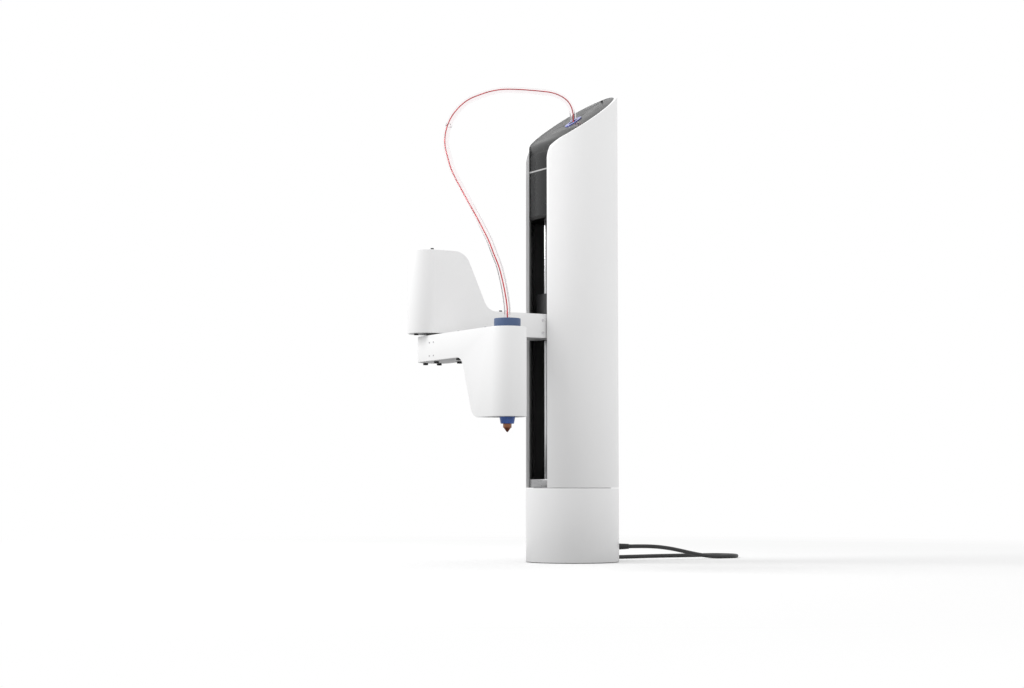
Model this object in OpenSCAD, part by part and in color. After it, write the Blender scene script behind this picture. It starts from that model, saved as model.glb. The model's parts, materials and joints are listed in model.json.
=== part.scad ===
// Desktop filament printer: a turning column, a lifting carriage, two arms with an elbow, and a print head.
// Millimetres. The origin is at the centre of the base, on the floor. +Z is up, and the arm points to -Y.

/* [Column] */
// Outer radius of the base and of the column
tower_r = 69.5; // [66:0.5:74]
// Wall of the white column shell
shell_wall = 5.2; // [4.8:0.1:5.4]
// Height of the fixed base
base_h = 109.5; // [104:0.5:112]
// Height of the sloping top above the floor, at the column's axis
top_z = 662.7; // [650:1:680]
// Rise of the sloping top for each millimetre towards the back
top_slope = 0.7; // [0.6:0.01:0.75]
// Half of the width of the front slot
slot_half = 29.4; // [29.2:0.1:30.5]

/* [Upper arm] */
// Half of the width of both arms
arm_half = 26; // [25.5:0.1:26.5]
// Height of the underside of the upper arm
arm_z = 330.5; // [329.5:0.1:331.5]
// Distance from the column's axis to the elbow's axis
elbow_reach = 233.4; // [228:0.2:240]
// Top of the tall elbow housing
elbow_top_z = 450.3; // [446:0.1:460]

/* [Forearm] */
// Distance from the elbow's axis to the nozzle's axis
forearm_reach = 200; // [199:0.5:202]
// Height of the underside of the forearm
forearm_z = 290; // [289:0.5:291]
// Height of the underside of the print head
head_z = 205.5; // [204.5:0.5:206.5]
// Height of the tip of the nozzle
nozzle_tip_z = 185; // [184.5:0.1:186]

/* [Cables] */
// Diameter of the mains lead
lead_d = 6; // [5.5:0.1:6]
// Outer diameter of the clear feed tube
tube_d = 9; // [8:0.1:9]

/* [Hidden] */
$fn = 96;

eps = 0.1;
seam = 1;                           // gap between the base and the turning column
shell_z = base_h + seam;
shell_in = tower_r - shell_wall;
liner_out = shell_in - 0.3;
liner_in = liner_out - 2.5;
hub_top = 123;
plate_z = 512;                      // underside of the plate that closes the lift well
plate_t = 5;
hood_front = -56.7;                 // front face of the dark hood
hood_t = 3;
strip_z = 584;                      // light line across the front of the hood
hood_drop = 0.8;                    // how far the hood lies below the rim of the shell
slope_a = atan(top_slope);
corner_y = -sqrt(tower_r * tower_r - slot_half * slot_half);
brow_r = 42;
port_y = 3;
port_bore = 6.6;
button_y = 55.6;
button_r = 1.6;
lead_z = 21.6;                      // height of the mains lead where it leaves the base
relief_end = 101.5;

elbow = [0, -elbow_reach];
head = [forearm_reach, -elbow_reach];
arm_t = 35.7;
arm_top = arm_z + arm_t;
arm_back = -46.6;                   // face that bolts to the carriage
arm_end = -elbow_reach - 16.6;      // centre of the round end of the elbow housing
wall = 2.5;
slope_top = [-199.6, elbow_top_z];
slope_foot = [-161, arm_top];
forearm_top = 326.7;
under_corner = [119.5, forearm_z];
head_corner = [149.9, head_z];
cover_t = 3;                        // flush covers in the open undersides

rod_x = 15;
rod_y = -36;
rod_r = 4;
screw_y = -22;
screw_r = 4;
motor_w = 42.3;
gear_z = 301;
filament_r = 0.875;
tube_gap = 1.5;                     // between the feed tube's two lengths
wheel_r = 6;
hex_z = 190.9;                      // underside of the nozzle's hexagon

coil_at = [-111, 67];
coil_out = 45;                      // radius of the outermost turn's centre
coil_in = 27;
plug_y = 110;
plug_x = coil_at[0] - 42;
plug_h = 14;

// Feed tube, from the port in the top, forward over the upper arm, and across to the print head
tube_high = [[0, 3, 656], [0, 3, 668], [0, 2, 678], [0, -2, 688], [-2, -8, 696], [-5, -17, 702],
    [-8, -31, 706], [-12, -49, 707], [-15, -68, 707], [-16, -88, 706], [-17, -109, 704], [-17, -130, 699],
    [-15, -151, 691], [-13, -170, 682], [-8, -188, 669], [-2, -204, 653], [5, -216, 636]];
tube_low = [[5, -216, 636], [14, -225, 618], [25, -231, 601], [37, -234, 585], [52, -237, 566],
    [68, -238, 548], [86, -238, 529], [105, -238, 509], [123, -237, 489], [140, -236, 469],
    [155, -235, 450], [168, -235, 431], [179, -234, 413], [188, -234, 394], [195, -234, 375],
    [199, -233.4, 356], [200, -233.4, 341], [200, -233.4, 330]];
// Mains lead, from the strain relief down to the floor and back to the coil behind the base
lead_route = [[0, 101.5, 21.6], [0, 120, 21.5], [0, 140, 21], [0, 160, 19.6], [0, 180, 17],
    [0, 200, 13.4], [0, 220, 9.4], [0, 240, 6], [0, 258, 3.8], [0, 275, 3.1], [0, 290, 3.1], [-3, 304, 3.1],
    [-10, 315, 3.1], [-21, 322, 3.1], [-35, 325, 3.1], [-49, 322, 3.1], [-60, 315, 3.1], [-67, 304, 3.1],
    [-70, 290, 3.1], [-72, 265, 3.1], [-74, 240, 3.1], [-75, 215, 3.1], [-74, 190, 3.1], [-71, 165, 3.1],
    [-68, 140, 3.1], [-66, 115, 3.1], [-66, 95, 3.1], [-66, 76, 3.1]];
tail_route = [[-153, 72, 9], [-153, 84, 8.6], [-153, 97, 7.4], [-153, 110, 7]];

function unit(v) = v / norm(v);
function way(p, i) = unit(p[min(i + 1, len(p) - 1)] - p[max(i - 1, 0)]);
function ring(c, t, side, r, n) =
    let(u = unit(cross(t, side)), w = cross(t, u))
    [for (k = [0:n - 1]) c + r * (cos(360 * k / n) * u + sin(360 * k / n) * w)];

// A tube swept along a list of points, with one ring at each
module sweep(p, r, side, n = 8) {
    last = len(p) - 1;
    rings = [for (i = [0:last]) ring(p[i], way(p, i), side, r, n)];
    sides = [for (i = [0:last - 1], k = [0:n - 1], half = [0, 1])
        let(a = i * n + k, b = i * n + (k + 1) % n)
        half == 0 ? [a, b, b + n] : [a, b + n, a + n]];
    polyhedron([for (q = rings) each q],
        concat([[for (k = [n - 1:-1:0]) k]], sides, [[for (k = [0:n - 1]) last * n + k]]));
}

function angle_of(v) = atan2(v[1], v[0]);
function spot(c) = [c[0], c[1]];

// An outline through corners [x, y, radius], each rounded to its radius where that is above zero
function rounded(c, steps = 16) = [for (i = [0:len(c) - 1])
    let(p = spot(c[i]), r = c[i][2],
        u = unit(spot(c[(i + len(c) - 1) % len(c)]) - p), v = unit(spot(c[(i + 1) % len(c)]) - p))
    each r == 0 ? [p] : arc(p, u, v, r, steps)];

// Points from side u to side v of corner p, round a circle of radius r that touches both
function arc(p, u, v, r, steps) =
    let(half = acos(u * v) / 2, reach = r / tan(half), centre = p + unit(u + v) * r / sin(half),
        start = angle_of(p + u * reach - centre),
        turn = (angle_of(p + v * reach - centre) - start + 900) % 360 - 180)
    [for (k = [0:steps]) centre + r * [cos(start + turn * k / steps), sin(start + turn * k / steps)]];

module along_x(w) {
    rotate([90, 0, 90]) linear_extrude(w, center = true) children();
}

module along_y(w) {
    rotate([90, 0, 0]) linear_extrude(w, center = true) children();
}

module tube(r_out, r_in, z0, z1) {
    translate([0, 0, z0]) difference() {
        cylinder(r = r_out, h = z1 - z0);
        translate([0, 0, -eps]) cylinder(r = r_in, h = z1 - z0 + 2 * eps);
    }
}

module rod(r, z0, z1) {
    translate([0, 0, z0]) cylinder(r = r, h = z1 - z0);
}

// A square motor with its corners cut off round
module motor(z0, z1) {
    intersection() {
        translate([-motor_w / 2, -motor_w / 2, z0]) cube([motor_w, motor_w, z1 - z0]);
        rod(27, z0, z1);
    }
}

module cap_screw(r, h) {
    difference() {
        cylinder(r = r, h = h);
        translate([0, 0, h / 2]) cylinder(r = r * 0.5, h = h, $fn = 6);
    }
}

// ---- Base ----

module foot_pad() {
    color("dimgray") rod(63, 0, 2.5);
}

module base_plate() {
    color("silver") rod(tower_r - 3.7, 2.5, 6.5);
}

module base_housing() {
    color("white") difference() {
        tube(tower_r, tower_r - 3.5, seam, base_h);
        translate([0, tower_r, lead_z]) rotate([90, 0, 0]) cylinder(r = 5.4, h = 20, center = true);
    }
}

module ballast_weight() {
    color("gray") difference() {
        rod(62, 6.5, 42);
        translate([-16, 20, 6]) cube([32, 60, 40]);
    }
}

module power_supply() {
    color("gainsboro") translate([-35, 26, 42]) cube([70, 24, 38]);
}

module control_board() {
    color("green") {
        translate([-38, -32, 42]) cube([76, 2, 38]);
        for (x = [-30, -6, 18]) translate([x, -30, 50]) cube([12, 3, 12]);
    }
}

module turn_motor() {
    color("dimgray") motor(42, 80);
}

module turn_gearbox() {
    color("silver") difference() {
        rod(20, 80, 98);
        rod(5.3, 85, 99);
    }
}

module bearing_support() {
    color("silver") {
        tube(tower_r - 3.7, 20.5, 84, 89);
        tube(60, 42, 89, 97);
    }
}

module bearing_race(z0, z1) {
    difference() {
        tube(58, 42, z0, z1);
        translate([0, 0, 104.6]) rotate_extrude() translate([50, 0]) circle(r = 3.06, $fn = 48);
    }
}

module lower_bearing_race() {
    color("silver") bearing_race(97, 103.8);
}

module strain_relief() {
    color("black") translate([0, 0, lead_z]) rotate([-90, 0, 0]) {
        rod(5.2, 60, tower_r);
        translate([0, 0, tower_r]) cylinder(r1 = 5.2, r2 = 3.9, h = relief_end - tower_r);
    }
}

module mains_cord() {
    color("black") sweep(lead_route, lead_d / 2, [0, 0, 1]);
}

module cord_coil() {
    color("black") translate(coil_at) tube(coil_out + lead_d / 2, coil_in - lead_d / 2, 0, 2 * lead_d);
}

module cord_tail() {
    color("black") sweep(tail_route, lead_d / 2, [0, 0, 1]);
}

module mains_plug() {
    color("black") translate([plug_x, plug_y, plug_h / 2]) rotate([-90, 0, 0]) {
        cylinder(r1 = 4.5, r2 = 6.2, h = 12);
        translate([-9, -plug_h / 2, 12]) cube([18, plug_h, 24]);
    }
}

module plug_pins() {
    color("goldenrod") for (s = [-1, 1])
        translate([plug_x + s * 6, plug_y + 36, plug_h / 2]) rotate([-90, 0, 0]) rod(2, 0, 18);
}

// ---- Turning column ----

module bearing_balls() {
    color("silver") for (i = [0:15]) rotate(i * 22.5) translate([50, 0, 104.6]) sphere(r = 3, $fn = 32);
}

module upper_bearing_race() {
    color("silver") bearing_race(105.4, shell_z + 0.3);
}

module turn_output_shaft() {
    color("silver") rod(5, 86, 98.4);
}

module turntable_hub() {
    color("silver") {
        rod(liner_out, shell_z + 0.3, hub_top);
        rod(12, 98.4, shell_z + 0.5);
    }
}

// Everything under the sloping top and behind the front edge y0, from z0 up, with a brow of radius r
module brow_profile(y0, drop, r, z0) {
    back = tower_r + 4;
    top = top_z - drop;
    polygon(rounded([[y0, z0, 0], [y0, top + top_slope * y0, r],
        [back, top + top_slope * back, 0], [back, z0, 0]]));
}

module tower_shell() {
    color("white") difference() {
        intersection() {
            tube(tower_r, shell_in, shell_z, top_z + 60);
            along_x(160) brow_profile(corner_y, 0, brow_r, shell_z);
        }
        translate([-slot_half, -tower_r - 10, 0]) cube([2 * slot_half, tower_r + 10, 800]);
    }
}

module inner_liner() {
    color("black") difference() {
        tube(liner_out, liner_in, hub_top, plate_z);
        translate([-28, -tower_r, 0]) cube([56, tower_r, 800]);
    }
}

module guide_rods() {
    color("silver") for (s = [-1, 1]) translate([s * rod_x, rod_y, 0]) rod(rod_r, hub_top, plate_z);
}

module upper_plate() {
    color("black") difference() {
        intersection() {
            rod(liner_out, plate_z, plate_z + plate_t);
            translate([-80, hood_front, 0]) cube([160, 160, 800]);
        }
        translate([0, screw_y, 0]) rod(screw_r + 0.4, plate_z - 1, plate_z + plate_t + 1);
    }
}

module lift_motor() {
    color("dimgray") translate([0, screw_y, 0]) difference() {
        motor(plate_z + plate_t, 558);
        rod(screw_r + 0.4, plate_z, 527);
    }
}

module top_hood() {
    z0 = plate_z + plate_t;
    color("dimgray") difference() {
        intersection() {
            rod(liner_out, z0, top_z + 60);
            along_x(160) difference() {
                brow_profile(hood_front, hood_drop, 32, z0);
                brow_profile(hood_front + hood_t, hood_drop + hood_t, 29, z0 - 1);
            }
        }
        translate([0, port_y, 0]) rod(port_bore, 640, 690);
        on_panel(button_y) rod(button_r + 0.4, -10, 10);
    }
}

// Puts its children on the sloping panel at y, with +Z along the panel's normal
module on_panel(y) {
    translate([0, y, top_z - hood_drop + top_slope * y]) rotate([slope_a, 0, 0]) children();
}

module front_light_strip() {
    color("white") translate([-29, hood_front - 0.4, strip_z]) cube([58, 0.4, 2.2]);
}

module feed_port() {
    color("royalblue") intersection() {
        translate([0, port_y, 0]) tube(12.5, port_bore, 640, 690);
        on_panel(port_y) translate([-20, -20, 0]) cube([40, 40, 1]);
    }
}

module feed_tube_upper() {
    color("mistyrose") sweep(tube_high, tube_d / 2, [1, 1, 0]);
}

module power_button() {
    color("black") on_panel(button_y) {
        rod(button_r, -4.2, 1.8);
        rod(3.8, -6, -4.2);
    }
}

module lead_screw() {
    color("silver") translate([0, screw_y, 0]) {
        rod(screw_r, hub_top + 1, 524);
        rod(6, hub_top + 1, hub_top + 5);
    }
}

// ---- Carriage and upper arm ----

module carriage_block() {
    color("black") difference() {
        translate([-25.5, arm_back, arm_z + 0.5]) cube([51, 36.6, 69]);
        for (s = [-1, 1]) translate([s * rod_x, rod_y, 0]) rod(7.6, 300, 420);
        translate([0, screw_y, 0]) rod(6.1, 300, 420);
    }
}

module linear_bearings() {
    color("silver") for (s = [-1, 1], z = [333, 370])
        translate([s * rod_x, rod_y, 0]) tube(7.5, rod_r + 0.06, z, z + 24);
}

module lead_nut() {
    color("goldenrod") translate([0, screw_y, 0]) {
        tube(6, screw_r + 0.08, 362, 400);
        tube(9, screw_r + 0.08, 400, 402.5);
    }
}

module upper_arm_plan(inset) {
    back = inset > 0 ? 4 : 0;
    translate([-arm_half + inset, arm_end]) square([2 * (arm_half - inset), arm_back - arm_end - back]);
    translate([0, arm_end]) circle(arm_half - inset);
}

// Side outline of the upper arm, pulled in all round by inset
module upper_arm_side(inset, bottom) {
    lean = (slope_foot[0] - slope_top[0]) / (slope_top[1] - slope_foot[1]);
    shift = inset * sqrt(1 + lean * lean);
    top = elbow_top_z - inset;
    low = arm_top - inset;
    far = arm_end - arm_half;
    polygon(rounded([[far, bottom, 0], [far, top, 0],
        [slope_foot[0] - shift - (top - arm_top) * lean, top, 27 - inset],
        [slope_foot[0] - shift + inset * lean, low, 21 + inset],
        [arm_back, low, 0], [arm_back, bottom, 0]]));
}

module upper_arm_shell() {
    color("white") difference() {
        intersection() {
            translate([0, 0, arm_z]) linear_extrude(200) upper_arm_plan(0);
            along_x(80) upper_arm_side(0, arm_z);
        }
        intersection() {
            translate([0, 0, arm_z - 1]) linear_extrude(200) upper_arm_plan(wall);
            along_x(80) upper_arm_side(wall, arm_z - 1);
        }
    }
}

module upper_arm_plate() {
    color("whitesmoke") {
        difference() {
            translate([0, 0, arm_z]) linear_extrude(cover_t) upper_arm_plan(wall + 0.15);
            translate(elbow) rod(14, arm_z - 1, arm_z + 10);
        }
        translate(elbow) tube(21, 17.05, arm_z + cover_t, arm_z + 11.5);
    }
}

module upper_arm_screws() {
    color("silver") for (s = [-1, 1]) {
        for (z = [338, 357]) translate([s * arm_half, -67.8, z]) rotate([0, s * 90, 0]) cap_screw(2, 0.5);
    }
}

module housing_screws() {
    color("black") {
        for (s = [-1, 1]) {
            translate([s * 21, -251.5, elbow_top_z]) cap_screw(2.3, 2);
            translate([s * 21, -137.5, arm_top]) cap_screw(2.3, 2);
        }
        translate([0, -265.6, arm_z]) rotate([180, 0, 0]) cap_screw(3.4, 2.2);
    }
}

module elbow_motor() {
    color("dimgray") translate(elbow) motor(392, 430);
}

module elbow_gearbox() {
    color("silver") translate(elbow) difference() {
        rod(17.5, 345, 392);
        rod(8.4, 344, 353);
    }
}

module elbow_bearing() {
    color("silver") translate(elbow) tube(17, 8.06, arm_z + 3.4, arm_z + 11.5);
}

// ---- Forearm and print head ----

module elbow_hub() {
    color("black") translate(elbow) {
        rod(13.5, forearm_top, 333);
        rod(8, 333, 351);
    }
}

module forearm_plan(inset) {
    translate([0, -elbow_reach - arm_half + inset]) square([forearm_reach, 2 * (arm_half - inset)]);
    translate(elbow) circle(arm_half - inset);
    translate(head) circle(arm_half - inset);
}

// Side outline of the forearm and head, pulled in all round by inset
module forearm_side(inset) {
    lean = (head_corner[0] - under_corner[0]) / (forearm_z - head_z);
    shift = inset * sqrt(1 + lean * lean) - inset * lean;
    nose = forearm_reach + arm_half;
    polygon(rounded([[-arm_half, forearm_z + inset, 0],
        [under_corner[0] + shift, forearm_z + inset, 18 + inset],
        [head_corner[0] + shift, head_z + inset, 22 - inset],
        [nose, head_z + inset, 0], [nose, forearm_top - inset, 0], [-arm_half, forearm_top - inset, 0]]));
}

module cover_blank(x0, x1, z0, z1, inset) {
    intersection() {
        translate([0, 0, z0]) linear_extrude(z1 - z0) forearm_plan(inset);
        translate([x0, -400, z0 - 1]) cube([x1 - x0, 400, z1 - z0 + 2]);
    }
}

module forearm_shell() {
    color("white") difference() {
        intersection() {
            translate([0, 0, head_z]) linear_extrude(150) forearm_plan(0);
            translate([0, -elbow_reach, 0]) along_y(80) forearm_side(0);
        }
        intersection() {
            translate([0, 0, head_z]) linear_extrude(150) forearm_plan(wall);
            translate([0, -elbow_reach, 0]) along_y(80) forearm_side(wall);
        }
        cover_blank(-40, 104, forearm_z - 1, forearm_z + wall + 1, wall);
        cover_blank(168, 240, head_z - 1, head_z + wall + 1, wall);
        translate(head) rod(5, forearm_top - 10, forearm_top + 1);
    }
}

module forearm_plate() {
    color("lightgray") cover_blank(-40, 103.8, forearm_z, forearm_z + cover_t, wall + 0.15);
}

module head_plate() {
    color("whitesmoke") difference() {
        cover_blank(168.2, 240, head_z, head_z + cover_t, wall + 0.15);
        translate(head) rod(12.5, head_z - 1, head_z + 10);
    }
}

module forearm_screws() {
    color("black") for (q = [[-19.7, -6], [-14.6, 13.7], [25.3, -13], [36.5, 18.4], [99.5, -18.4]])
        translate([q[0], q[1] - elbow_reach, forearm_z]) rotate([180, 0, 0]) cap_screw(3.6, 2.8);
}

module cover_screws() {
    color("silver") for (s = [-1, 1]) {
        for (x = [103, 177]) translate([x, s * 21 - elbow_reach, forearm_top]) cap_screw(1.6, 1.2);
        for (x = [28, 40], z = [297, 316])
            translate([x, s * arm_half - elbow_reach, z]) rotate([-s * 90, 0, 0]) cap_screw(1.2, 0.4);
    }
}

module head_cap() {
    color("steelblue") translate(head) tube(18, 4.7, forearm_top, 338.4);
}

module feed_tube_lower() {
    rest = [for (i = [1:len(tube_low) - 1]) tube_low[i]];
    start = tube_low[0] + tube_gap * way(tube_low, 0);
    color("mistyrose") sweep(concat([start], rest), tube_d / 2, [1, 1, 0]);
}

module extruder_body() {
    color("dimgray") difference() {
        translate([186, -248, 284]) cube([32, 29, 38]);
        translate(head) rod(1.5, 280, 330);
        translate([180, -240, 290]) cube([34, 13, 22]);
        translate([head[0] - filament_r - wheel_r, -220, gear_z]) rotate([90, 0, 0])
            cylinder(r = 2.56, h = 30, center = true);
        translate([head[0] + filament_r + wheel_r, -233, gear_z]) rotate([90, 0, 0])
            cylinder(r = 1.56, h = 18, center = true);
    }
}

module extruder_motor() {
    color("black") translate([head[0] - filament_r - wheel_r, -212.4, gear_z]) rotate([90, 0, 0])
        difference() {
            cylinder(r = 16, h = 6.4);
            translate([0, 0, 1.5]) cylinder(r = 2.9, h = 10);
        }
}

module heat_sink() {
    color("silver") translate(head) difference() {
        union() {
            rod(5, 226, 284);
            rod(3, 212, 226);
            for (i = [0:10]) rod(11, 227 + i * 5, 229 + i * 5);
        }
        rod(1.2, 200, 290);
    }
}

module heater_block() {
    color("silver") translate(head) tube(7.5, 1.2, 198, 212);
}

module heater_sock() {
    color("royalblue") translate(head) difference() {
        translate([0, 0, 196.3]) cylinder(r1 = 9, r2 = 11.8, h = 15.7);
        rod(7.6, 198, 213);
        rod(6, 190, 200);
    }
}

module nozzle() {
    color("goldenrod") translate(head) difference() {
        union() {
            translate([0, 0, hex_z]) cylinder(r = 5.8, h = 198 - hex_z, $fn = 6);
            translate([0, 0, nozzle_tip_z]) cylinder(r1 = 0.8, r2 = 5, h = hex_z - nozzle_tip_z);
        }
        rod(0.4, 180, 200);
    }
}

module fan_frame() {
    color("black") translate([170, -elbow_reach - 15, 236]) difference() {
        cube([10, 30, 30]);
        translate([-1, 15, 15]) rotate([0, 90, 0]) cylinder(r = 13.8, h = 12);
    }
}

module fan_rotor() {
    color("dimgray") translate([171, -elbow_reach, 251]) rotate([0, 90, 0]) {
        cylinder(r = 6, h = 8);
        for (i = [0:6]) rotate(i * 360 / 7) translate([5, -0.6, 2]) rotate([35, 0, 0]) cube([8, 1.2, 5]);
    }
}

module drive_gear() {
    color("silver") translate([head[0] - filament_r - wheel_r, -228.4, gear_z]) rotate([90, 0, 0]) {
        cylinder(r = wheel_r - 0.05, h = 10);
        translate([0, 0, -13.4]) cylinder(r = 2.5, h = 14);
    }
}

module idler_wheel() {
    color("silver") translate([head[0] + filament_r + wheel_r, -228.4, gear_z]) rotate([90, 0, 0]) {
        cylinder(r = wheel_r - 0.05, h = 10);
        translate([0, 0, -3]) cylinder(r = 1.5, h = 16);
    }
}

foot_pad();
base_plate();
base_housing();
ballast_weight();
power_supply();
control_board();
turn_motor();
turn_gearbox();
bearing_support();
lower_bearing_race();
strain_relief();
mains_cord();
cord_coil();
cord_tail();
mains_plug();
plug_pins();
bearing_balls();
upper_bearing_race();
turn_output_shaft();
turntable_hub();
tower_shell();
inner_liner();
guide_rods();
upper_plate();
lift_motor();
top_hood();
front_light_strip();
feed_port();
feed_tube_upper();
power_button();
lead_screw();
carriage_block();
linear_bearings();
lead_nut();
upper_arm_shell();
upper_arm_plate();
upper_arm_screws();
housing_screws();
elbow_motor();
elbow_gearbox();
elbow_bearing();
elbow_hub();
forearm_shell();
forearm_plate();
head_plate();
forearm_screws();
cover_screws();
head_cap();
feed_tube_lower();
extruder_body();
extruder_motor();
heat_sink();
heater_block();
heater_sock();
nozzle();
fan_frame();
fan_rotor();
drive_gear();
idler_wheel();
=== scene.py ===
"""Desktop filament printer: the visible covers, tube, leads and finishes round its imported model."""

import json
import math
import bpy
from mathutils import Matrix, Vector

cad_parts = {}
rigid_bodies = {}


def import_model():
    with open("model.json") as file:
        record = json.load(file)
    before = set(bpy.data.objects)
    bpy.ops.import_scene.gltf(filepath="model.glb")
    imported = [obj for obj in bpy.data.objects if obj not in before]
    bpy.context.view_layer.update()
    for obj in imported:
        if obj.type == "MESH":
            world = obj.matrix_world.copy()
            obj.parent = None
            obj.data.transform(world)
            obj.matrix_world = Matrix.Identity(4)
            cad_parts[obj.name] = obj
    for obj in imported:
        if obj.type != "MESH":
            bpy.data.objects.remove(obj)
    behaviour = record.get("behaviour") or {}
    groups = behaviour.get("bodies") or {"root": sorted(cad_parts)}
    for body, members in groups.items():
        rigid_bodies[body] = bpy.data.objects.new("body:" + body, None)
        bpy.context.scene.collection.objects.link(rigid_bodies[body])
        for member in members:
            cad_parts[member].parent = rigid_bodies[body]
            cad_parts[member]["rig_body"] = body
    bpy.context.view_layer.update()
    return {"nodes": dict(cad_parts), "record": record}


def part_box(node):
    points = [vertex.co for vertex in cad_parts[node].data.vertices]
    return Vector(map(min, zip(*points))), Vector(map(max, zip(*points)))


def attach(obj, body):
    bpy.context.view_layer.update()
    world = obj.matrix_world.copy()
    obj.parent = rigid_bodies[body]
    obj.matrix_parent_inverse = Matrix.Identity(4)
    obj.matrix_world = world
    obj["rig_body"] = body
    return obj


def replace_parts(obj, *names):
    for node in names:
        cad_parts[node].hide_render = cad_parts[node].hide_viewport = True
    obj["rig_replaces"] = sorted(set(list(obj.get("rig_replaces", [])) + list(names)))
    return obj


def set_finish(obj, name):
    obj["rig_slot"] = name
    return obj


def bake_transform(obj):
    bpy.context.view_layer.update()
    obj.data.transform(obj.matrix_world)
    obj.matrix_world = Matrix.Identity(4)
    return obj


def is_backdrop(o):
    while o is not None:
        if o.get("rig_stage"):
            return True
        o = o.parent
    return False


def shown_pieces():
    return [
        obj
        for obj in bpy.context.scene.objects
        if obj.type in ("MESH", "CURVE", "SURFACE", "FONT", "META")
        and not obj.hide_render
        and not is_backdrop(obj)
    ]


bl_info = {
    "name": "Filament Printer",
    "version": (1, 0, 0),
    "blender": (4, 5, 0),
    "location": "3D View > Sidebar > Printer",
    "description": "Builds the covers, feed tube, mains lead, finishes and studio of a column printer",
    "category": "Add Mesh",
}

import bmesh
import bpy
from mathutils import Matrix, Vector

MM = 0.001
MERGE = 0.0000005  # vertices of a CAD copy closer than this are one
WELD = 0.00001  # the same for the thread
FLAT = math.radians(0.6)  # faces of a CAD copy that differ by less are joined
LYING = 3.1  # height of the middle of a lead that lies on the floor, in millimetres
COIL_STEPS = 24  # points in each turn of the coil
WALL = 69.5  # radius of the column's outside, in millimetres

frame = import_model()
NODES = frame["nodes"]

# Routes in millimetres, the same as the model's own. Each is smoothed before it is used.
TUBE_HIGH = [
    (0, 3, 656), (0, 3, 668), (0, 2, 678), (0, -2, 688), (-2, -8, 696), (-5, -17, 702), (-8, -31, 706),
    (-12, -49, 707), (-15, -68, 707), (-16, -88, 706), (-17, -109, 704), (-17, -130, 699),
    (-15, -151, 691), (-13, -170, 682), (-8, -188, 669), (-2, -204, 653), (5, -216, 636),
]
TUBE_LOW = [
    (5, -216, 636), (14, -225, 618), (25, -231, 601), (37, -234, 585), (52, -237, 566), (68, -238, 548),
    (86, -238, 529), (105, -238, 509), (123, -237, 489), (140, -236, 469), (155, -235, 450),
    (168, -235, 431), (179, -234, 413), (188, -234, 394), (195, -234, 375), (199, -233.4, 356),
    (200, -233.4, 341), (200, -233.4, 330),
]
LEAD_ROUTE = [
    (0, 101.5, 21.6), (0, 120, 21.5), (0, 140, 21), (0, 160, 19.6), (0, 180, 17), (0, 200, 13.4),
    (0, 220, 9.4), (0, 240, 6), (0, 258, 3.8), (0, 275, 3.1), (0, 290, 3.1), (-3, 304, 3.1),
    (-10, 315, 3.1), (-21, 322, 3.1), (-35, 325, 3.1), (-49, 322, 3.1), (-60, 315, 3.1), (-67, 304, 3.1),
    (-70, 290, 3.1), (-72, 265, 3.1), (-74, 240, 3.1), (-75, 215, 3.1), (-74, 190, 3.1),
    (-71, 165, 3.1), (-68, 140, 3.1), (-66, 115, 3.1), (-66, 95, 3.1), (-66, 76, 3.1),
]
LEAD_TAIL = [(-153, 76, 9.1), (-153, 86, 8.6), (-153, 98, 7.4), (-153, 110, 7)]
COIL_CENTRE = (-111, 67)


class PrinterSizes(bpy.types.PropertyGroup):
    """Sizes of what is made here, in metres."""

    cover_edge: bpy.props.FloatProperty(
        name="Cover Edge", description="Rounding of the white covers' edges",
        default=0.0009, unit="LENGTH",
    )
    metal_edge: bpy.props.FloatProperty(
        name="Metal Edge", description="Chamfer on machined pieces", default=0.0004, unit="LENGTH"
    )
    tube_diameter: bpy.props.FloatProperty(
        name="Tube Diameter", description="Outside of the clear feed tube",
        default=0.009, unit="LENGTH",
    )
    tube_wall: bpy.props.FloatProperty(
        name="Tube Wall", description="Wall of the clear feed tube",
        default=0.0013, unit="LENGTH",
    )
    filament_diameter: bpy.props.FloatProperty(
        name="Filament", description="Diameter of the filament",
        default=0.00175, unit="LENGTH",
    )
    filament_offset: bpy.props.FloatProperty(
        name="Filament Offset",
        description="How far the filament lies towards the outside of the tube's bend",
        default=0.0018, unit="LENGTH",
    )
    lead_diameter: bpy.props.FloatProperty(
        name="Lead Diameter", description="Diameter of the mains lead",
        default=0.006, unit="LENGTH",
    )
    coil_turns_low: bpy.props.FloatProperty(
        name="Lower Turns", description="Turns in the coil's lower layer", default=3.0, min=1.0
    )
    coil_turns_high: bpy.props.FloatProperty(
        name="Upper Turns", description="Turns in the coil's upper layer", default=2.5, min=0.5
    )
    coil_outer: bpy.props.FloatProperty(
        name="Coil Radius", description="Radius of the coil's widest turn",
        default=0.045, unit="LENGTH",
    )
    screw_pitch: bpy.props.FloatProperty(
        name="Thread Pitch", description="Distance between the lead screw's ridges",
        default=0.002, unit="LENGTH",
    )
    floor_size: bpy.props.FloatProperty(
        name="Floor", description="Side of the studio floor", default=24.0, unit="LENGTH"
    )


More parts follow.
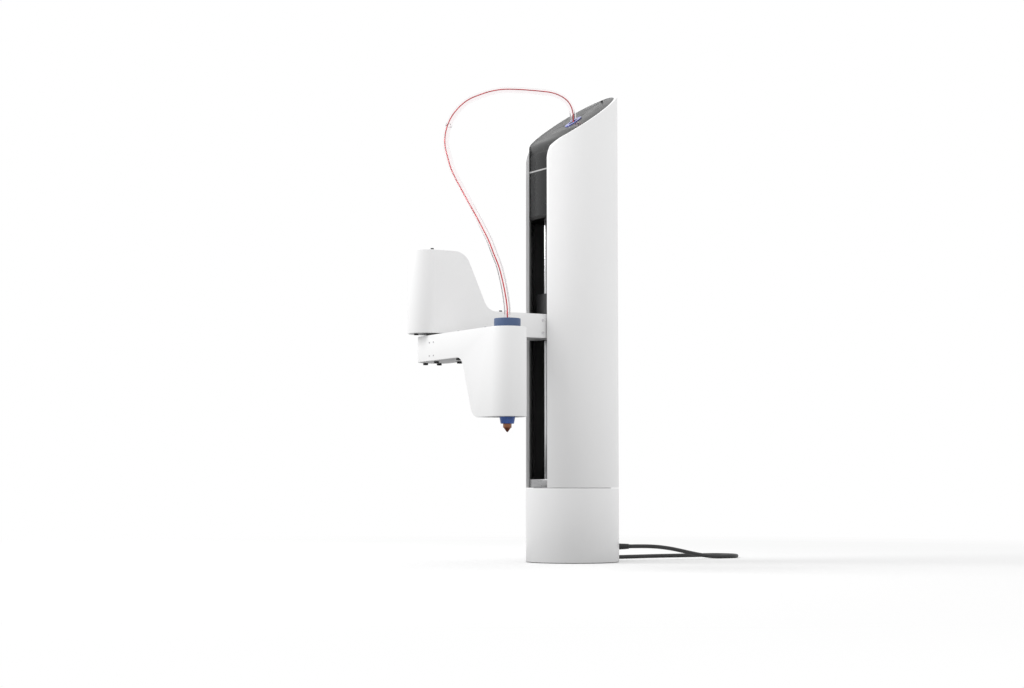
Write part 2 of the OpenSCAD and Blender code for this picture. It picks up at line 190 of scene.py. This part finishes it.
class PrinterColours(bpy.types.PropertyGroup):
    """Colours of the finishes."""

    white: bpy.props.FloatVectorProperty(
        name="White", description="Covers of the column and arms",
        subtype="COLOR", default=(0.86, 0.86, 0.862),
    )
    hood: bpy.props.FloatVectorProperty(
        name="Hood", description="Dark grey hood", subtype="COLOR", default=(0.011, 0.0115, 0.012)
    )
    black: bpy.props.FloatVectorProperty(
        name="Black", description="Black mouldings", subtype="COLOR", default=(0.012, 0.012, 0.012)
    )
    cap: bpy.props.FloatVectorProperty(
        name="Cap", description="Blue ring on the print head",
        subtype="COLOR", default=(0.062, 0.105, 0.215),
    )
    sock: bpy.props.FloatVectorProperty(
        name="Sock", description="Blue silicone sock", subtype="COLOR", default=(0.035, 0.10, 0.36)
    )
    port: bpy.props.FloatVectorProperty(
        name="Port", description="Blue collar of the feed port",
        subtype="COLOR", default=(0.16, 0.18, 0.60),
    )
    filament: bpy.props.FloatVectorProperty(
        name="Filament", description="Red filament", subtype="COLOR", default=(0.56, 0.035, 0.045)
    )
    lead: bpy.props.FloatVectorProperty(
        name="Lead", description="Mains lead", subtype="COLOR", default=(0.016, 0.016, 0.017)
    )
    brass: bpy.props.FloatVectorProperty(
        name="Nozzle", description="Heated brass", subtype="COLOR", default=(0.42, 0.20, 0.10)
    )


class PrinterView(bpy.types.PropertyGroup):
    """Where the camera stands."""

    azimuth: bpy.props.FloatProperty(
        name="Azimuth", description="Turn round the printer",
        default=math.radians(58.9), subtype="ANGLE",
    )
    distance: bpy.props.FloatProperty(
        name="Distance", description="From the column to the camera",
        default=2.85975, unit="LENGTH",
    )
    aside: bpy.props.FloatProperty(
        name="Aside", description="Step to the camera's left", default=0.09024, unit="LENGTH"
    )
    height: bpy.props.FloatProperty(
        name="Height", description="Camera above the floor", default=0.10926, unit="LENGTH"
    )
    pitch: bpy.props.FloatProperty(
        name="Pitch", description="Upward tilt", default=math.radians(4.334), subtype="ANGLE"
    )
    lens: bpy.props.FloatProperty(
        name="Lens", description="Focal length in millimetres", default=67.026
    )


# ---- Mesh work ----


def deselect():
    """Leaves object mode with nothing selected."""
    if bpy.context.object and bpy.context.object.mode != "OBJECT":
        bpy.ops.object.mode_set(mode="OBJECT")
    bpy.ops.object.select_all(action="DESELECT")


def choose(piece):
    """Makes this piece the only one selected, and the active one."""
    deselect()
    piece.select_set(True)
    bpy.context.view_layer.objects.active = piece


def apply_modifier(piece, kind, **values):
    """Adds a modifier, sets its values and applies it."""
    choose(piece)
    modifier = piece.modifiers.new(kind.title(), kind)
    for key, value in values.items():
        setattr(modifier, key, value)
    bpy.ops.object.modifier_apply(modifier=modifier.name)


def settle(piece, angle=35):
    """Puts the piece's place into its mesh and smooths it up to that angle."""
    choose(piece)
    bpy.ops.object.transform_apply(location=True, rotation=True, scale=True)
    bpy.ops.object.shade_smooth_by_angle(angle=math.radians(angle))


def paint(piece, material):
    """Gives the whole piece one material."""
    piece.data.materials.clear()
    piece.data.materials.append(material)


def finished_copy(node, width, look, segments=2):
    """A cleaned copy of a CAD node with rounded edges, which stands for that node."""
    source = NODES[node]
    piece = bpy.data.objects.new(node + "_finished", source.data.copy())
    bpy.context.scene.collection.objects.link(piece)
    choose(piece)
    bpy.ops.object.mode_set(mode="EDIT")
    bpy.ops.mesh.select_all(action="SELECT")
    bpy.ops.mesh.remove_doubles(threshold=MERGE)
    bpy.ops.mesh.customdata_custom_splitnormals_clear()
    bpy.ops.mesh.dissolve_limited(angle_limit=FLAT)
    bpy.ops.object.mode_set(mode="OBJECT")
    apply_modifier(
        piece, "BEVEL", width=width, segments=segments, limit_method="ANGLE",
        angle_limit=math.radians(32), use_clamp_overlap=True,
    )
    settle(piece, 30)
    paint(piece, LOOKS[look])
    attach(piece, source["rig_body"])
    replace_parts(piece, node)
    return piece


def slot_of(node):
    """The material slot that the record gives a CAD node."""
    for part in frame["record"]["subparts"]:
        if part["node"] == node:
            return part["material_slot"]
    raise ValueError(f"no slot for {node}")


def smooth_line(points, step):
    """A Catmull-Rom curve through the points, as points about a step apart, in metres."""
    knots = [Vector(point) * MM for point in points]
    knots = [2 * knots[0] - knots[1], *knots, 2 * knots[-1] - knots[-2]]
    line = []
    for a, b, c, d in zip(knots, knots[1:], knots[2:], knots[3:]):
        count = max(2, math.ceil((c - b).length / step))
        for k in range(count):
            t = k / count
            line.append(
                0.5 * ((2 * b) + (c - a) * t + (2 * a - 5 * b + 4 * c - d) * t**2
                       + (3 * b - a - 3 * c + d) * t**3)
            )
    line.append(knots[-2])
    return line


def frames_along(line):
    """A pair of directions across the line at each point, turned as little as possible."""
    last = len(line) - 1
    ways = [(line[min(i + 1, last)] - line[max(i - 1, 0)]).normalized() for i in range(last + 1)]
    side = ways[0].orthogonal().normalized()
    found = []
    for way in ways:
        side = (side - way * side.dot(way)).normalized()
        found.append((side.copy(), way.cross(side)))
    return found


def swept(name, line, radius, material, sides=16, bore=0.0):
    """A round tube along the line. Its UV map has turns across and metres along.

    The bore is the radius of an inner wall, and without one the ends are closed.
    """
    mesh = bmesh.new()
    across = frames_along(line)
    uv = mesh.loops.layers.uv.new("UVMap")

    def rings(r):
        made = []
        for point, (u, w) in zip(line, across):
            made.append([
                mesh.verts.new(point + r * (math.cos(a) * u + math.sin(a) * w))
                for a in (2 * math.pi * k / sides for k in range(sides))
            ])
        return made

    def skin(made, outward):
        run = 0.0
        for i in range(len(made) - 1):
            step = (line[i + 1] - line[i]).length
            for k in range(sides):
                n = (k + 1) % sides
                corners = [made[i][k], made[i][n], made[i + 1][n], made[i + 1][k]]
                places = [(k, run), (k + 1, run), (k + 1, run + step), (k, run + step)]
                if not outward:
                    corners.reverse()
                    places.reverse()
                face = mesh.faces.new(corners)
                face.smooth = True
                for loop, (turn, along) in zip(face.loops, places):
                    loop[uv].uv = (turn / sides, along)
            run += step

    outer = rings(radius)
    skin(outer, True)
    if bore > 0:
        inner = rings(bore)
        skin(inner, False)
        for k in range(sides):
            n = (k + 1) % sides
            mesh.faces.new([outer[0][k], inner[0][k], inner[0][n], outer[0][n]])
            mesh.faces.new([outer[-1][n], inner[-1][n], inner[-1][k], outer[-1][k]])
    else:
        mesh.faces.new(list(reversed(outer[0])))
        mesh.faces.new(outer[-1])
    data = bpy.data.meshes.new(name)
    mesh.to_mesh(data)
    mesh.free()
    piece = bpy.data.objects.new(name, data)
    bpy.context.scene.collection.objects.link(piece)
    paint(piece, material)
    return piece


def lathe(name, profile, place, axis, material, steps=64):
    """Spins a closed outline of (radius, height) in millimetres, and lays its axis along another."""
    deselect()
    bpy.ops.mesh.primitive_plane_add(size=1)
    piece = bpy.context.object
    piece.name = name
    mesh = bmesh.new()
    ring = [mesh.verts.new((r * MM, 0, z * MM)) for r, z in profile]
    for i in range(len(ring)):
        mesh.edges.new((ring[i], ring[(i + 1) % len(ring)]))
    mesh.to_mesh(piece.data)
    mesh.free()
    choose(piece)
    bpy.ops.object.mode_set(mode="EDIT")
    bpy.ops.mesh.select_all(action="SELECT")
    bpy.ops.mesh.spin(steps=steps, angle=2 * math.pi, center=(0, 0, 0), axis=(0, 0, 1))
    bpy.ops.mesh.select_all(action="SELECT")
    bpy.ops.mesh.remove_doubles(threshold=0.000005)
    bpy.ops.mesh.normals_make_consistent(inside=False)
    bpy.ops.object.mode_set(mode="OBJECT")
    turn = Vector((0, 0, 1)).rotation_difference(Vector(axis)).to_matrix().to_4x4()
    piece.data.transform(Matrix.Translation(Vector(place) * MM) @ turn)
    settle(piece)
    paint(piece, material)
    return piece


# ---- Finishes ----


class Finish:
    """One node material under construction."""

    def __init__(self, name):
        self.material = bpy.data.materials.new(name)
        self.material.use_nodes = True
        self.tree = self.material.node_tree
        self.shader = self.tree.nodes["Principled BSDF"]
        self.where = self.add("ShaderNodeTexCoord").outputs["Object"]

    def add(self, kind, **values):
        node = self.tree.nodes.new(kind)
        for key, value in values.items():
            setattr(node, key, value)
        return node

    def link(self, source, target):
        self.tree.links.new(source, target)

    def set(self, **values):
        for key, value in values.items():
            socket = self.shader.inputs[key.replace("_", " ")]
            socket.default_value = (*value, 1.0) if key in ("Base_Color", "Emission_Color") else value

    def noise(self, scale, detail, stretch=(1, 1, 1)):
        spread = self.add("ShaderNodeMapping")
        spread.inputs["Scale"].default_value = stretch
        self.link(self.where, spread.inputs["Vector"])
        cloud = self.add("ShaderNodeTexNoise")
        cloud.inputs["Scale"].default_value = scale
        cloud.inputs["Detail"].default_value = detail
        self.link(spread.outputs["Vector"], cloud.inputs["Vector"])
        return cloud.outputs["Fac"]

    def between(self, source, low, high, start=0.3, end=0.7):
        """The source's range from start to end, spread from low to high."""
        spread = self.add("ShaderNodeMapRange")
        for key, value in (("From Min", start), ("From Max", end), ("To Min", low), ("To Max", high)):
            spread.inputs[key].default_value = value
        self.link(source, spread.inputs["Value"])
        return spread.outputs["Result"]

    def tint(self, source, first, second):
        """Colour that drifts from the first to the second with the source."""
        mix = self.add("ShaderNodeMix", data_type="RGBA")
        mix.inputs["A"].default_value = (*first, 1)
        mix.inputs["B"].default_value = (*second, 1)
        self.link(source, mix.inputs["Factor"])
        self.link(mix.outputs["Result"], self.shader.inputs["Base Color"])
        return mix

    def rough(self, source, low, high):
        self.link(self.between(source, low, high), self.shader.inputs["Roughness"])

    def bump(self, source, depth):
        relief = self.add("ShaderNodeBump")
        relief.inputs["Distance"].default_value = depth
        relief.inputs["Strength"].default_value = 1.0
        self.link(source, relief.inputs["Height"])
        self.link(relief.outputs["Normal"], self.shader.inputs["Normal"])


def shade(colour, factor):
    return tuple(min(1.0, c * factor) for c in colour)


def moulded(name, colour, low, high, grain=900, depth=0.00003, drift=0.06, coat=0.0, shine=0.5):
    """Moulded plastic: a fine grain, a slow drift of colour and of gloss."""
    look = Finish(name)
    slow = look.noise(9, 3)
    look.tint(look.between(slow, 0, 1), shade(colour, 1 - drift), colour)
    look.rough(look.noise(46, 4), low, high)
    look.bump(look.noise(grain, 2), depth)
    look.set(Coat_Weight=coat, Coat_Roughness=0.2, Specular_IOR_Level=shine)
    return look.material


def brushed(name, colour, low, high, stretch, scale=260, depth=0.00002):
    """Metal with fine lines: the grain is drawn out along the axes with a small stretch."""
    look = Finish(name)
    lines = look.noise(scale, 3, stretch)
    look.tint(look.between(lines, 0, 1), shade(colour, 0.8), colour)
    look.rough(lines, low, high)
    look.bump(lines, depth)
    look.set(Metallic=1.0)
    return look.material


def clear_plastic(name):
    """The feed tube's wall: nearly clear, with a faint milky drift."""
    look = Finish(name)
    look.rough(look.noise(70, 2), 0.03, 0.09)
    look.set(Base_Color=(0.98, 0.95, 0.955), Transmission_Weight=1.0, IOR=1.08)
    look.set(Specular_IOR_Level=0.5)
    return look.material


def rubber(name, colour, low=0.42, high=0.6):
    """Soft rubber or a cable's sheath: matt, with a fine grain."""
    look = Finish(name)
    look.tint(look.between(look.noise(120, 3), 0, 1), shade(colour, 0.75), shade(colour, 1.2))
    look.rough(look.noise(60, 2), low, high)
    look.bump(look.noise(1400, 2), 0.00002)
    return look.material


def heated_brass(name, colour, tip, top):
    """Brass that heat has browned, darker and redder towards the tip."""
    look = Finish(name)
    split = look.add("ShaderNodeSeparateXYZ")
    look.link(look.where, split.inputs["Vector"])
    height = look.between(split.outputs["Z"], 0, 1, tip, top)
    mix = look.tint(height, (0.16, 0.022, 0.015), colour)
    soot = look.add("ShaderNodeMix", data_type="RGBA", blend_type="MULTIPLY")
    soot.inputs["Factor"].default_value = 0.5
    look.link(mix.outputs["Result"], soot.inputs["A"])
    grey = look.add("ShaderNodeCombineColor")
    for channel in ("Red", "Green", "Blue"):
        look.link(look.between(look.noise(520, 3), 0.35, 1.0), grey.inputs[channel])
    look.link(grey.outputs["Color"], soot.inputs["B"])
    look.link(soot.outputs["Result"], look.shader.inputs["Base Color"])
    look.rough(look.noise(300, 2), 0.3, 0.5)
    look.set(Metallic=0.75)
    return look.material


LOOKS = {}


def make_looks():
    """Every finish by its plain name."""
    c = bpy.context.scene.printer_colours
    low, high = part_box("nozzle")
    LOOKS.update(
        white=moulded("satin_white", c.white, 0.28, 0.38, coat=0.2, drift=0.02),
        hood=moulded("hood_grey", c.hood, 0.22, 0.32, grain=1300, shine=0.36),
        black=moulded("black_moulding", c.black, 0.40, 0.55, grain=1300),
        well=moulded("well_black", (0.085, 0.085, 0.085), 0.14, 0.24, grain=700, coat=0.4),
        cover=moulded("light_grey_cover", (0.50, 0.50, 0.505), 0.42, 0.55),
        strip=moulded("grey_strip", (0.42, 0.42, 0.42), 0.25, 0.35),
        cap=moulded("blue_print", c.cap, 0.45, 0.6, grain=700, depth=0.00006),
        port=moulded("blue_collar", c.port, 0.15, 0.25, coat=0.6),
        sock=rubber("silicone_blue", c.sock, 0.35, 0.5),
        rubber=rubber("black_rubber", c.lead),
        lead=rubber("lead_sheath", c.lead, 0.35, 0.5),
        tube=clear_plastic("clear_tube"),
        filament=moulded("red_filament", c.filament, 0.25, 0.4, grain=1600, coat=0.3),
        turned=brushed("turned_aluminium", (0.40, 0.40, 0.405), 0.22, 0.4, (1, 1, 9)),
        ground=brushed("ground_steel", (0.66, 0.66, 0.67), 0.12, 0.26, (9, 9, 0.4)),
        plain_metal=brushed("plain_aluminium", (0.5, 0.5, 0.51), 0.35, 0.5, (1, 1, 1), 400),
        dark_metal=brushed("black_oxide", (0.03, 0.03, 0.03), 0.3, 0.45, (1, 1, 1), 500),
        anodised=moulded("black_anodised", (0.016, 0.016, 0.017), 0.28, 0.4, grain=1800, coat=0.2),
        gold=brushed("brass", (0.62, 0.46, 0.20), 0.2, 0.36, (1, 1, 4)),
        nozzle=heated_brass("browned_brass", c.brass, low.z, high.z),
        motor=moulded("motor_black", (0.02, 0.02, 0.021), 0.3, 0.45),
        board=moulded("circuit_green", (0.01, 0.09, 0.035), 0.25, 0.4, coat=0.5),
    )


# The record's slots that CAD nodes keep, and the finish that each takes here
SLOT_LOOKS = {
    "white_shell": "white", "cover_grey": "cover", "hood_grey": "hood", "black_plastic": "black",
    "light_strip": "strip", "blue_port": "port", "blue_cap": "cap", "blue_sock": "sock",
    "black_rubber": "rubber", "clear_tube": "tube", "pin_brass": "gold", "ballast_iron": "dark_metal",
    "bearing_steel": "ground", "black_screws": "dark_metal", "motor_body": "motor",
    "silver_alloy": "plain_metal", "carriage_alloy": "anodised", "circuit_green": "board",
    "supply_case": "plain_metal",
}


# ---- Operators ----


class PRINTER_OT_camera(bpy.types.Operator):
    """Stand the camera low beside the printer, a little to the front, and tilt it up"""

    bl_idname = "printer.camera"
    bl_label = "Camera"

    def execute(self, context):
        v = context.scene.printer_view
        back = Vector((math.sin(v.azimuth), -math.cos(v.azimuth), 0))
        right = Vector((math.cos(v.azimuth), math.sin(v.azimuth), 0))
        place = back * v.distance - right * v.aside + Vector((0, 0, v.height))
        deselect()
        bpy.ops.object.camera_add(location=place, rotation=(math.pi / 2 + v.pitch, 0, v.azimuth))
        camera = context.object
        camera.data.sensor_width = 36
        camera.data.lens = v.lens
        camera.data.clip_start = 0.05
        camera.data.clip_end = 100
        context.scene.camera = camera
        return {"FINISHED"}


class PRINTER_OT_lead(bpy.types.Operator):
    """Lay the mains lead on the floor, wind its spare length into a coil and end it in its plug"""

    bl_idname = "printer.lead"
    bl_label = "Mains Lead"

    def execute(self, context):
        s = context.scene.printer_sizes
        d = s.lead_diameter / MM
        outer = s.coil_outer / MM
        inner = outer - d * s.coil_turns_low
        coil = []
        for i in range(1, round(s.coil_turns_low * COIL_STEPS)):
            turns = i / COIL_STEPS
            coil.append((turns, outer - d * turns, LYING))
        for i in range(round(s.coil_turns_high * COIL_STEPS) + 1):
            turns = i / COIL_STEPS
            rise = min(1.0, 3 * turns)
            coil.append((s.coil_turns_low + turns, inner + d * turns, LYING + d * rise))
        wound = []
        for turns, radius, z in coil:
            a = -2 * math.pi * turns
            x, y = COIL_CENTRE
            wound.append((x + radius * math.cos(a), y + radius * math.sin(a), z))
        line = smooth_line(LEAD_ROUTE + wound + LEAD_TAIL, 0.004)
        lead = swept("mains_lead", line, s.lead_diameter / 2, LOOKS["lead"], sides=14)
        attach(lead, "base")
        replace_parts(lead, "mains_cord", "cord_coil", "cord_tail")
        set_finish(lead, "black_rubber")
        plug = finished_copy("mains_plug", 0.0022, "rubber", segments=3)
        pins = finished_copy("plug_pins", 0.0006, "gold")
        relief = self.strain_relief()
        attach(relief, "base")
        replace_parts(relief, "strain_relief")
        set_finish(relief, "black_rubber")
        return {"FINISHED"}

    def strain_relief(self):
        """A tapered sleeve with shallow grooves, so that it can bend."""
        low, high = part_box("strain_relief")
        height = (low.z + high.z) / 2 / MM
        start, end = 60.0, 101.5
        bore, thick, thin, groove = 3.05, 5.2, 3.9, 0.7
        outline = [(bore, start), (thick, start), (thick, WALL + 2)]
        count = 6
        first, last = WALL + 4, end - 4
        pitch = (last - first) / count
        for i in range(count):
            y = first + pitch * i
            r = thick - (thick - thin) * (y - WALL) / (end - WALL)
            outline += [
                (r, y), (r, y + pitch * 0.55),
                (r - groove, y + pitch * 0.66), (r - groove, y + pitch * 0.9),
            ]
        outline += [(3.95, last), (thin, end - 0.8), (3.4, end), (bore, end)]
        return lathe("strain_relief_sleeve", outline, (0, 0, height), (0, 1, 0), LOOKS["rubber"])


class PRINTER_OT_feed_tube(bpy.types.Operator):
    """Bend the clear feed tube from the port to the print head, with the filament inside"""

    bl_idname = "printer.feed_tube"
    bl_label = "Feed Tube"

    def execute(self, context):
        s = context.scene.printer_sizes
        whole = smooth_line(TUBE_HIGH + TUBE_LOW[1:], 0.0035)
        joint = Vector(TUBE_LOW[0]) * MM
        split = min(range(len(whole)), key=lambda i: (whole[i] - joint).length)
        middle = sum(whole, Vector()) / len(whole)
        across = frames_along(whole)
        inside = []
        centring = 14  # points at each end over which the filament moves to the middle
        for i, (point, (u, w)) in enumerate(zip(whole, across)):
            way = u.cross(w)
            out = point - middle
            out = (out - way * out.dot(way)).normalized()
            ends = min(1.0, i / centring, (len(whole) - 1 - i) / centring)
            inside.append(point + out * s.filament_offset * ends)
        port, meeting, head = whole[4], whole[split], whole[-8]
        radius = s.tube_diameter / 2
        for name, span, first, second, start, end in (
            ("upper", slice(0, split + 1), "column", "carriage", port, meeting),
            ("lower", slice(split, None), "carriage", "forearm", meeting, head),
        ):
            line = whole[span]
            tube = swept(
                f"feed_tube_{name}_clear", line, radius, LOOKS["tube"], sides=20,
                bore=radius - s.tube_wall,
            )
            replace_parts(tube, f"feed_tube_{name}")
            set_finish(tube, "clear_tube")
            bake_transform(tube)
            thread = swept(
                f"filament_{name}", inside[span], s.filament_diameter / 2, LOOKS["filament"], sides=10
            )
            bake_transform(thread)
        return {"FINISHED"}


class PRINTER_OT_covers(bpy.types.Operator):
    """Round the edges of the white covers, the hood and the dark covers behind them"""

    bl_idname = "printer.covers"
    bl_label = "Covers"

    def execute(self, context):
        edge = context.scene.printer_sizes.cover_edge
        for node in ("tower_shell", "base_housing"):
            finished_copy(node, edge, "white", segments=3)
        for node in ("upper_arm_shell", "forearm_shell"):
            finished_copy(node, edge * 0.8, "white", segments=3)
        finished_copy("top_hood", edge * 0.5, "hood")
        finished_copy("upper_plate", edge * 0.4, "dark_metal")
        finished_copy("inner_liner", edge * 0.4, "well")
        for node in ("upper_arm_plate", "forearm_plate", "head_plate"):
            finished_copy(node, edge * 0.4, "cover")
        finished_copy("front_light_strip", 0.00015, "strip")
        finished_copy("foot_pad", 0.0006, "rubber")
        return {"FINISHED"}


class PRINTER_OT_head(bpy.types.Operator):
    """Finish the print head's cap, sock and nozzle, and the feed port's collar"""

    bl_idname = "printer.head"
    bl_label = "Print Head"

    def execute(self, context):
        finished_copy("head_cap", 0.0007, "cap", segments=3)
        finished_copy("heater_sock", 0.0008, "sock", segments=3)
        finished_copy("nozzle", 0.00025, "nozzle")
        finished_copy("feed_port", 0.0004, "port", segments=3)
        finished_copy("power_button", 0.0004, "black", segments=3)
        return {"FINISHED"}


class PRINTER_OT_mechanism(bpy.types.Operator):
    """Finish the drum, rods, lead screw, carriage and elbow"""

    bl_idname = "printer.mechanism"
    bl_label = "Mechanism"

    def execute(self, context):
        chamfer = context.scene.printer_sizes.metal_edge
        for node, width, look in (
            ("turntable_hub", chamfer * 2, "turned"),
            ("guide_rods", chamfer, "ground"),
            ("carriage_block", chamfer * 2, "anodised"),
            ("linear_bearings", chamfer, "ground"),
            ("lead_nut", chamfer, "gold"),
            ("elbow_hub", chamfer, "black"),
            ("elbow_bearing", chamfer, "ground"),
        ):
            finished_copy(node, width, look)
        self.lead_screw(context)
        return {"FINISHED"}

    def lead_screw(self, context):
        """A rolled thread: one ridge drawn as an outline and screwed up the rod."""
        pitch = context.scene.printer_sizes.screw_pitch
        low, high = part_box("lead_screw")
        centre = (low + high) / 2
        root, crest = 0.0033, 0.004
        deselect()
        bpy.ops.mesh.primitive_plane_add(size=1)
        screw = context.object
        screw.name = "lead_screw_threaded"
        outline = [(root, 0.0), (root, 0.35), (crest, 0.55), (crest, 0.8), (root, 1.0)]
        mesh = bmesh.new()
        ring = [mesh.verts.new((r, 0, z * pitch)) for r, z in outline]
        for a, b in zip(ring, ring[1:]):
            mesh.edges.new((a, b))
        mesh.to_mesh(screw.data)
        mesh.free()
        start = low.z + 0.004
        turns = int((high.z - 0.001 - start) / pitch) - 1
        steps = 14 * turns
        apply_modifier(
            screw, "SCREW", axis="Z", angle=2 * math.pi * turns, screw_offset=pitch * turns,
            steps=steps, render_steps=steps, use_merge_vertices=True, merge_threshold=WELD,
        )
        screw.data.transform(Matrix.Translation((centre.x, centre.y, start)))
        choose(screw)
        bpy.ops.object.mode_set(mode="EDIT")
        bpy.ops.mesh.select_all(action="SELECT")
        bpy.ops.mesh.remove_doubles(threshold=WELD)
        bpy.ops.mesh.normals_make_consistent(inside=False)
        bpy.ops.object.mode_set(mode="OBJECT")
        foot, top = low.z / MM, high.z / MM
        core = lathe(
            "lead_screw_core",
            [(0.2, foot), (5.6, foot), (6, foot + 0.4), (6, foot + 3.6), (5.6, foot + 4),
             (3.4, foot + 4), (3.4, top - 0.5), (3.0, top), (0.2, top)],
            (centre.x / MM, centre.y / MM, 0), (0, 0, 1), LOOKS["ground"], steps=32,
        )
        settle(screw)
        paint(screw, LOOKS["ground"])
        for piece in (screw, core):
            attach(piece, "screw")
        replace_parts(core, "lead_screw")
        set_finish(screw, "bearing_steel")


class PRINTER_OT_finishes(bpy.types.Operator):
    """Give every CAD piece that still shows its slot's finish, and every new piece its slot"""

    bl_idname = "printer.finishes"
    bl_label = "Finishes"

    def execute(self, context):
        for node, piece in NODES.items():
            if not piece.hide_render:
                paint(piece, LOOKS[SLOT_LOOKS[slot_of(node)]])
        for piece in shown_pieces():
            stood_for = list(piece.get("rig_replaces", []))
            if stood_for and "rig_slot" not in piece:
                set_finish(piece, slot_of(stood_for[0]))
            if piece.name.startswith("filament_"):
                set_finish(piece, "red_filament")
        return {"FINISHED"}


class PRINTER_OT_studio(bpy.types.Operator):
    """Set a white floor, a soft sky and a broad light from the printer's front"""

    bl_idname = "printer.studio"
    bl_label = "Studio"

    def execute(self, context):
        scene = context.scene
        scene.view_settings.view_transform = "Standard"
        self.floor(context)
        self.sky(scene)
        self.panel("front_light", (-0.9, -2.0, 1.9), (0, -0.1, 0.6), 1.3, 34)
        self.panel("top_light", (0.8, 0.2, 2.8), (0, 0, 0.3), 2.4, 12)
        return {"FINISHED"}

    def floor(self, context):
        """White near the printer and fading out further off.

        Painted shade: the colour that lights the printer from below is painted dark round a point in
        front, where a print would stand, while the camera sees the floor white there.
        """
        size = context.scene.printer_sizes.floor_size
        deselect()
        bpy.ops.mesh.primitive_plane_add(size=size)
        floor = context.object
        floor.name = "studio_floor"
        look = Finish("floor_white_painted_shade")
        # painted shade: a dark patch round this point, only for light that the floor throws up
        near = self.nearness(look, (0.12, -0.36, 0), 0.15, 0.75)
        rays = look.add("ShaderNodeLightPath")
        unseen = look.add("ShaderNodeMath", operation="SUBTRACT")
        unseen.inputs[0].default_value = 1.0
        look.link(rays.outputs["Is Camera Ray"], unseen.inputs[1])
        dark = look.add("ShaderNodeMath", operation="MULTIPLY")
        look.link(near, dark.inputs[0])
        look.link(unseen.outputs["Value"], dark.inputs[1])
        # painted shade: 0.83 as the camera sees the floor, down to 0.16 in the painted patch for light
        # thrown up
        look.tint(dark.outputs["Value"], (0.83, 0.83, 0.83), (0.16, 0.16, 0.16))
        look.set(Roughness=0.9, Specular_IOR_Level=0.0)
        look.set(Emission_Color=(1, 1, 1), Emission_Strength=0.02)
        around = self.nearness(look, (0, 0, 0), 0.6, 1.8)
        look.link(around, look.shader.inputs["Alpha"])
        paint(floor, look.material)
        floor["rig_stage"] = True

    def nearness(self, look, centre, full, none):
        """1 within the first distance of a point on the floor, and 0 past the second."""
        gap = look.add("ShaderNodeVectorMath", operation="DISTANCE")
        gap.inputs[1].default_value = centre
        look.link(look.where, gap.inputs[0])
        ramp = look.add("ShaderNodeMapRange", interpolation_type="SMOOTHSTEP")
        for key, value in (("From Min", full), ("From Max", none), ("To Min", 1.0), ("To Max", 0.0)):
            ramp.inputs[key].default_value = value
        look.link(gap.outputs["Value"], ramp.inputs["Value"])
        return ramp.outputs["Result"]

    def sky(self, scene):
        """White where the camera sees it, and a little darker as light."""
        world = bpy.data.worlds.new("studio_sky")
        world.use_nodes = True
        scene.world = world
        tree = world.node_tree
        seen = tree.nodes["Background"]
        seen.inputs["Color"].default_value = (1, 1, 1, 1)
        seen.inputs["Strength"].default_value = 1.0
        lit = tree.nodes.new("ShaderNodeBackground")
        lit.inputs["Color"].default_value = (1, 1, 1, 1)
        lit.inputs["Strength"].default_value = 0.87
        rays = tree.nodes.new("ShaderNodeLightPath")
        mix = tree.nodes.new("ShaderNodeMixShader")
        direct = tree.nodes.new("ShaderNodeMath")
        direct.operation = "MAXIMUM"
        tree.links.new(rays.outputs["Is Camera Ray"], direct.inputs[0])
        tree.links.new(rays.outputs["Is Transmission Ray"], direct.inputs[1])
        tree.links.new(direct.outputs["Value"], mix.inputs["Fac"])
        tree.links.new(lit.outputs["Background"], mix.inputs[1])
        tree.links.new(seen.outputs["Background"], mix.inputs[2])
        tree.links.new(mix.outputs["Shader"], tree.nodes["World Output"].inputs["Surface"])

    def panel(self, name, place, target, size, power):
        """A square soft light, aimed at a point. Sizes are in metres and the power in watts."""
        deselect()
        bpy.ops.object.light_add(type="AREA", location=place)
        light = bpy.context.object
        light.name = name
        light.data.size = size
        light.data.energy = power
        aim = Vector(target) - Vector(place)
        light.rotation_euler = aim.to_track_quat("-Z", "Y").to_euler()


class PRINTER_PT_panel(bpy.types.Panel):
    """Lists the printer's pieces in the sidebar"""

    bl_idname = "PRINTER_PT_panel"
    bl_label = "Filament Printer"
    bl_space_type = "VIEW_3D"
    bl_region_type = "UI"
    bl_category = "Printer"

    def draw(self, context):
        for operator in PIECES:
            self.layout.operator(operator.bl_idname)
        for group in (
            context.scene.printer_sizes, context.scene.printer_colours, context.scene.printer_view
        ):
            for name in group.bl_rna.properties.keys():
                if name not in ("rna_type", "name"):
                    self.layout.prop(group, name)


PIECES = (
    PRINTER_OT_camera,
    PRINTER_OT_lead,
    PRINTER_OT_feed_tube,
    PRINTER_OT_covers,
    PRINTER_OT_head,
    PRINTER_OT_mechanism,
    PRINTER_OT_finishes,
    PRINTER_OT_studio,
)
CLASSES = (PrinterSizes, PrinterColours, PrinterView, *PIECES, PRINTER_PT_panel)


def register():
    for item in CLASSES:
        bpy.utils.register_class(item)
    bpy.types.Scene.printer_sizes = bpy.props.PointerProperty(type=PrinterSizes)
    bpy.types.Scene.printer_colours = bpy.props.PointerProperty(type=PrinterColours)
    bpy.types.Scene.printer_view = bpy.props.PointerProperty(type=PrinterView)


def unregister():
    del bpy.types.Scene.printer_view
    del bpy.types.Scene.printer_colours
    del bpy.types.Scene.printer_sizes
    for item in reversed(CLASSES):
        bpy.utils.unregister_class(item)


def main():
    register()
    make_looks()
    for operator in PIECES:
        group, name = operator.bl_idname.split(".")
        getattr(getattr(bpy.ops, group), name)()


if __name__ == "__main__":
    main()
